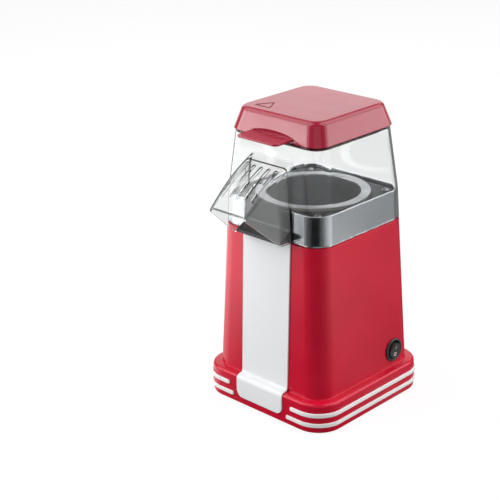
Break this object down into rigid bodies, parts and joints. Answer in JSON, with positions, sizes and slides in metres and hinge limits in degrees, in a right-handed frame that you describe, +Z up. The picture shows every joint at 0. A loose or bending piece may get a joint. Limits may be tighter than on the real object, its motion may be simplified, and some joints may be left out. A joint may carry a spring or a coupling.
{
  "type": "popcorn maker",
  "caption": "Hot-air popcorn maker: tapered square red housing, grey band, clear hood with a pouring spout, and a red measuring cap as its lid.",
  "frame": {"origin": "on the surface the machine stands on, under the middle of its bounding box (the tower's own axis is 17 mm behind it, at y = +0.017)", "axes": "+Z up; -Y towards the spout and the white front panel; +X towards the side with the rocker switch"},
  "size_m": [0.1588, 0.1928, 0.29],
  "materials": {
    "red_plastic": "glossy moulded ABS, pigmented red",
    "white_plastic": "satin-gloss moulded ABS, white",
    "clear_plastic": "clear moulded polycarbonate, polished",
    "black_plastic": "fine moulded grain, black",
    "band_metal": "satin grey metal band",
    "chamber_aluminium": "drawn aluminium, bare",
    "steel": "zinc-plated steel",
    "rubber": "matt moulded rubber",
    "silicone": "matt silicone",
    "mica": "pressed mica sheet",
    "nichrome": "oxidised resistance wire",
    "brass": "stamped brass",
    "natural_nylon": "natural nylon, satin",
    "circuit_board": "solder-masked board",
    "component_black": "moulded epoxy",
    "wire_blue": "wire insulation",
    "wire_red": "wire insulation"
  },
  "bodies": {
    "base": {"main_housing": "red_plastic", "front_panel": "white_plastic", "stripe_lower": "white_plastic", "stripe_upper": "white_plastic", "bottom_cover": "black_plastic", "cord_gland": "black_plastic", "switch_bezel": "black_plastic", "top_deck": "black_plastic", "outlet_ramp": "black_plastic", "fan_housing": "black_plastic", "band_ring": "band_metal", "popping_chamber": "chamber_aluminium", "chamber_jacket": "steel", "motor_can": "steel", "thermostat": "steel", "thermal_fuse": "steel", "motor_screw_left": "steel", "motor_screw_right": "steel", "base_screw_right": "steel", "base_screw_back": "steel", "base_screw_left": "steel", "base_screw_front": "steel", "deck_screw_front_right": "steel", "deck_screw_back_right": "steel", "deck_screw_back_left": "steel", "deck_screw_front_left": "steel", "foot_front_right": "rubber", "foot_back_right": "rubber", "foot_back_left": "rubber", "foot_front_left": "rubber", "chamber_gasket": "silicone", "mica_cross": "mica", "heater_coil": "nichrome", "switch_terminal_line": "brass", "switch_terminal_load": "brass", "motor_end_cap": "natural_nylon", "terminal_block": "natural_nylon", "rectifier_board": "circuit_board", "capacitor": "component_black", "diode_1": "component_black", "diode_2": "component_black", "diode_3": "component_black", "diode_4": "component_black", "lead_gland_to_block": "wire_blue", "lead_block_to_switch": "wire_red"},
    "hood": {"clear_hood": "clear_plastic"},
    "cap": {"measuring_cap": "red_plastic"},
    "rocker": {"switch_rocker": "black_plastic"},
    "fan": {"fan_impeller": "natural_nylon", "motor_rotor": "steel"}
  },
  "joints": [
    {"name": "hood_lift", "type": "slide", "parent": "base", "child": "hood", "axis": [0, 0, 1], "range_m": [0, 0.06]},
    {"name": "cap_lift", "type": "slide", "parent": "hood", "child": "cap", "axis": [0, 0, 1], "range_m": [0, 0.04]},
    {"name": "rocker_tilt", "type": "hinge", "parent": "base", "child": "rocker", "pos_m": [0.06868, 0.0556, 0.0468], "axis": [0, -1, 0], "range_deg": [0, 20]},
    {"name": "fan_spin", "type": "hinge", "parent": "base", "child": "fan", "pos_m": [0, 0.017, 0.06], "axis": [0, 0, 1], "continuous": true}
  ]
}
